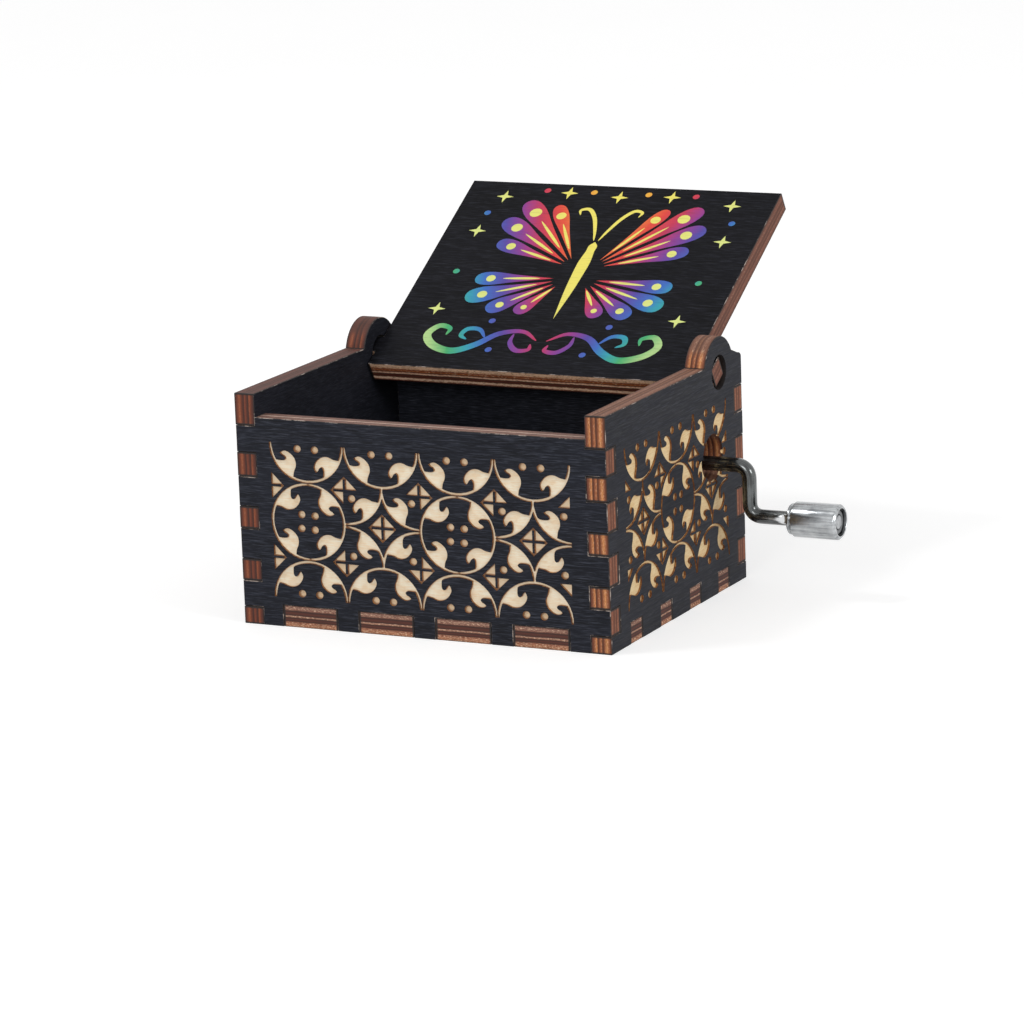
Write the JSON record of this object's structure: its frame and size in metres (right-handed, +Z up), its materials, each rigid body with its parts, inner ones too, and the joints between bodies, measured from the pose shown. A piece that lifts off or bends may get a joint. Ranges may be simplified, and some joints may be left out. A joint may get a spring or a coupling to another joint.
{
  "type": "music box",
  "caption": "Hand-cranked music box: finger-jointed plywood box with a hinged lid, and inside it a pinned cylinder, a comb and a worm drive turned by a wire crank.",
  "frame": {"origin": "middle of the box's underside, on the face that it stands on", "axes": "+X to the right, towards the crank; +Y from the front wall to the back wall; +Z up"},
  "size_m": [0.0858, 0.0807, 0.0584],
  "materials": {
    "painted_ply": "black-painted plywood with fine grain, engraved lattice down to pale wood, brown laser-cut edges",
    "dark_steel": "polished dark steel wire",
    "bright_nickel": "bright nickel plate",
    "brass": "turned brass",
    "cast_zinc": "as-cast zinc",
    "comb_steel": "ground spring steel",
    "screw_steel": "zinc-plated steel",
    "wheel_nylon": "moulded pale nylon"
  },
  "bodies": {
    "box": {"front_panel": "painted_ply", "back_panel": "painted_ply", "left_side_panel": "painted_ply", "right_side_panel": "painted_ply", "bottom_panel": "painted_ply", "movement_frame": "cast_zinc", "comb": "comb_steel", "comb_screw_1": "screw_steel", "comb_screw_2": "screw_steel", "movement_screw_1": "screw_steel", "movement_screw_2": "screw_steel", "movement_screw_3": "screw_steel", "movement_screw_4": "screw_steel"},
    "lid": {"lid": "painted_ply"},
    "crank": {"crank": "dark_steel", "worm": "brass", "crank_clip": "screw_steel", "knob_washer": "bright_nickel"},
    "knob": {"crank_knob": "bright_nickel"},
    "cylinder": {"cylinder": "brass", "cylinder_front_cap": "brass", "cylinder_rear_cap": "brass", "worm_wheel": "wheel_nylon", "arbor_clip": "screw_steel", "cylinder_arbor": "dark_steel"}
  },
  "joints": [
    {"name": "lid_hinge", "type": "hinge", "parent": "box", "child": "lid", "pos_m": [0, 0.017, 0.0356], "axis": [1, 0, 0], "range_deg": [0, 150]},
    {"name": "crank_turn", "type": "hinge", "parent": "box", "child": "crank", "pos_m": [0.009, 0.01375, 0.0215], "axis": [1, 0, 0], "continuous": true},
    {"name": "knob_spin", "type": "hinge", "parent": "crank", "child": "knob", "pos_m": [0.0494, 0.01375, 0.0134], "axis": [1, 0, 0], "continuous": true},
    {"name": "cylinder_turn", "type": "hinge", "parent": "box", "child": "cylinder", "pos_m": [0.009, 0.00015, 0.0131], "axis": [0, 1, 0], "continuous": true}
  ],
  "couplings": [
    {"joint": "cylinder_turn", "follows": "crank_turn", "ratio": -0.045455}
  ]
}
